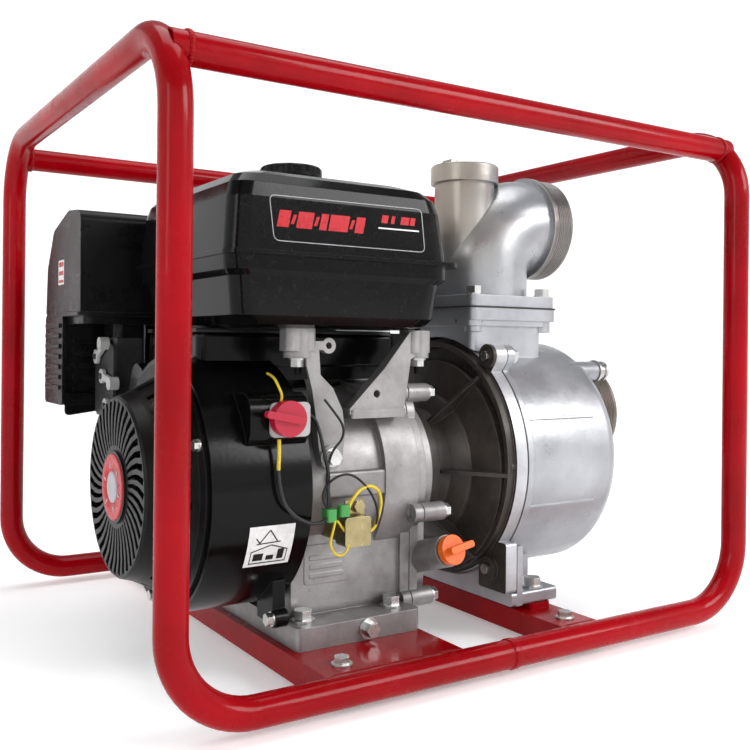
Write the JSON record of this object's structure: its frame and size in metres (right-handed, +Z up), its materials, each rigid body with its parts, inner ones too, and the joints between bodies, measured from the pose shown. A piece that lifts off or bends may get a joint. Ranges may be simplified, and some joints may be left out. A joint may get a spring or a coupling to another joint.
{
  "type": "portable fire pump",
  "caption": "Portable petrol-engined centrifugal fire pump in a welded tube carrying frame, with threaded suction and discharge ports, a priming cap and a recoil starter.",
  "frame": {"origin": "on the ground under the middle of the frame", "axes": "+X along the crank axis from the recoil starter to the pump, +Z up, -Y towards the side with the engine switch and oil filler"},
  "size_m": [0.6544, 0.5542, 0.5337],
  "materials": {
    "frame_red": "gloss red enamel over welded steel tube",
    "rubber_black": "matt moulded rubber",
    "cast_aluminium": "sand-blasted die casting",
    "zinc_steel": "bright zinc plating",
    "dark_steel": "ground steel",
    "cast_iron_grey": "bare cast iron",
    "adapter_brown": "dark brown-grey paint on a sand casting",
    "pump_silver": "silver paint on a casting",
    "thread_alloy": "machined, slightly stained",
    "tank_black": "gloss black enamel",
    "housing_black": "satin black",
    "recoil_black": "satin black",
    "plastic_black": "fine-grained moulding",
    "muffler_black": "heat-resistant matt paint",
    "orange_plastic": "moulded",
    "red_plastic": "moulded",
    "grey_plastic": "moulded",
    "sensor_brass": "yellow passivated",
    "lead_yellow": "PVC sleeve",
    "connector_green": "moulded",
    "gasket_dark": "pressed fibre and rubber",
    "bronze": "cast bronze",
    "ceramic_white": "glazed ceramic and plated steel",
    "filter_foam": "filter element in a black tray"
  },
  "bodies": {
    "frame_and_engine": {"frame_tube_left": "frame_red", "frame_tube_right": "frame_red", "top_rails": "frame_red", "engine_crossmember": "frame_red", "pump_crossmember": "frame_red", "rubber_feet": "rubber_black", "crankcase": "cast_aluminium", "crankcase_side_cover": "cast_aluminium", "side_cover_bolts": "zinc_steel", "chassis_bolts": "zinc_steel", "oil_drain_plug": "zinc_steel", "main_bearings": "dark_steel", "cylinder_barrel": "cast_aluminium", "cylinder_head": "cast_aluminium", "valve_cover": "cast_aluminium", "spark_plug": "ceramic_white", "cylinder_shroud": "housing_black", "muffler": "muffler_black", "blower_housing": "housing_black", "recoil_starter_cover": "recoil_black", "recoil_spring": "dark_steel", "engine_small_bolts": "zinc_steel", "ignition_coil": "plastic_black", "fuel_tank_upper": "tank_black", "fuel_tank_lower": "tank_black", "tank_bracket_left": "cast_aluminium", "tank_bracket_right": "cast_aluminium", "air_cleaner_cover": "plastic_black", "air_cleaner_base": "plastic_black", "carburetor": "cast_iron_grey", "engine_switch_body": "grey_plastic", "oil_sensor_unit": "sensor_brass", "engine_leads": "lead_yellow", "lead_connectors": "connector_green", "pump_adapter": "adapter_brown", "joint_gaskets": "gasket_dark", "pump_casing": "pump_silver", "pump_bolts": "zinc_steel", "discharge_elbow": "pump_silver", "suction_flange": "thread_alloy", "casing_plug": "zinc_steel"},
    "crank_rotor": {"crankshaft": "dark_steel", "flywheel": "cast_iron_grey", "cooling_fan": "plastic_black", "impeller": "bronze"},
    "piston_body": {"piston": "cast_aluminium"},
    "starter_handle": {"starter_grip": "plastic_black", "starter_rope": "plastic_black"},
    "recoil_pulley": {"starter_pulley": "plastic_black"},
    "fuel_cap_lifter": {"fuel_cap_gasket": "gasket_dark"},
    "fuel_cap_turner": {"fuel_cap": "plastic_black"},
    "dipstick_lifter": {"dipstick_seal": "gasket_dark"},
    "dipstick_turner": {"dipstick": "orange_plastic"},
    "throttle": {"throttle_lever": "grey_plastic"},
    "choke": {"choke_lever": "grey_plastic"},
    "fuel_valve": {"fuel_valve_lever": "grey_plastic"},
    "engine_switch": {"engine_switch_knob": "red_plastic"},
    "priming_cap_lifter": {"priming_cap_gasket": "gasket_dark"},
    "priming_cap_turner": {"priming_cap": "pump_silver"},
    "check_flap": {"check_valve_flap": "rubber_black"}
  },
  "joints": [
    {"name": "crank_spin", "type": "hinge", "parent": "frame_and_engine", "child": "crank_rotor", "pos_m": [0, -0.086, 0.165], "axis": [1, 0, 0], "continuous": true},
    {"name": "piston_stroke", "type": "slide", "parent": "frame_and_engine", "child": "piston_body", "axis": [0, 0.9063, 0.4226], "range_m": [-0.058, 0]},
    {"name": "starter_pull", "type": "slide", "parent": "frame_and_engine", "child": "starter_handle", "axis": [0, -0.8829, 0.4695], "range_m": [0, 0.6], "stiffness_N_per_m": 20},
    {"name": "recoil_pulley_spin", "type": "hinge", "parent": "frame_and_engine", "child": "recoil_pulley", "pos_m": [-0.28, -0.086, 0.165], "axis": [1, 0, 0], "range_deg": [0, 910]},
    {"name": "fuel_cap_lift", "type": "slide", "parent": "frame_and_engine", "child": "fuel_cap_lifter", "axis": [0, 0, 1], "range_m": [0, 0.05]},
    {"name": "fuel_cap_turn", "type": "hinge", "parent": "fuel_cap_lifter", "child": "fuel_cap_turner", "pos_m": [-0.148, -0.12, 0.45], "axis": [0, 0, 1], "range_deg": [0, 90]},
    {"name": "dipstick_pull", "type": "slide", "parent": "frame_and_engine", "child": "dipstick_lifter", "axis": [0.08, -0.9505, 0.3002], "range_m": [0, 0.06]},
    {"name": "dipstick_turn", "type": "hinge", "parent": "dipstick_lifter", "child": "dipstick_turner", "pos_m": [-0.017, -0.194, 0.098], "axis": [0.08, -0.9505, 0.3002], "range_deg": [0, 720]},
    {"name": "throttle_turn", "type": "hinge", "parent": "frame_and_engine", "child": "throttle", "pos_m": [-0.2625, 0.075, 0.256], "axis": [1, 0, 0], "range_deg": [-15, 15]},
    {"name": "choke_turn", "type": "hinge", "parent": "frame_and_engine", "child": "choke", "pos_m": [-0.2625, 0.096, 0.276], "axis": [1, 0, 0], "range_deg": [0, 30]},
    {"name": "fuel_valve_turn", "type": "hinge", "parent": "frame_and_engine", "child": "fuel_valve", "pos_m": [-0.2625, 0.062, 0.226], "axis": [1, 0, 0], "range_deg": [0, 35]},
    {"name": "engine_switch_turn", "type": "hinge", "parent": "frame_and_engine", "child": "engine_switch", "pos_m": [-0.194, -0.21, 0.2295], "axis": [0, 1, 0], "range_deg": [0, 45]},
    {"name": "priming_cap_lift", "type": "slide", "parent": "frame_and_engine", "child": "priming_cap_lifter", "axis": [0, 0, 1], "range_m": [0, 0.04]},
    {"name": "priming_cap_turn", "type": "hinge", "parent": "priming_cap_lifter", "child": "priming_cap_turner", "pos_m": [0.084, -0.086, 0.48], "axis": [0, 0, 1], "range_deg": [0, 720]},
    {"name": "check_valve_swing", "type": "hinge", "parent": "frame_and_engine", "child": "check_flap", "pos_m": [0.213, -0.086, 0.2555], "axis": [0, 1, 0], "range_deg": [0, 35]}
  ],
  "couplings": [
    {"joint": "recoil_pulley_spin", "follows": "starter_pull", "rad_per_m": 26.316}
  ]
}
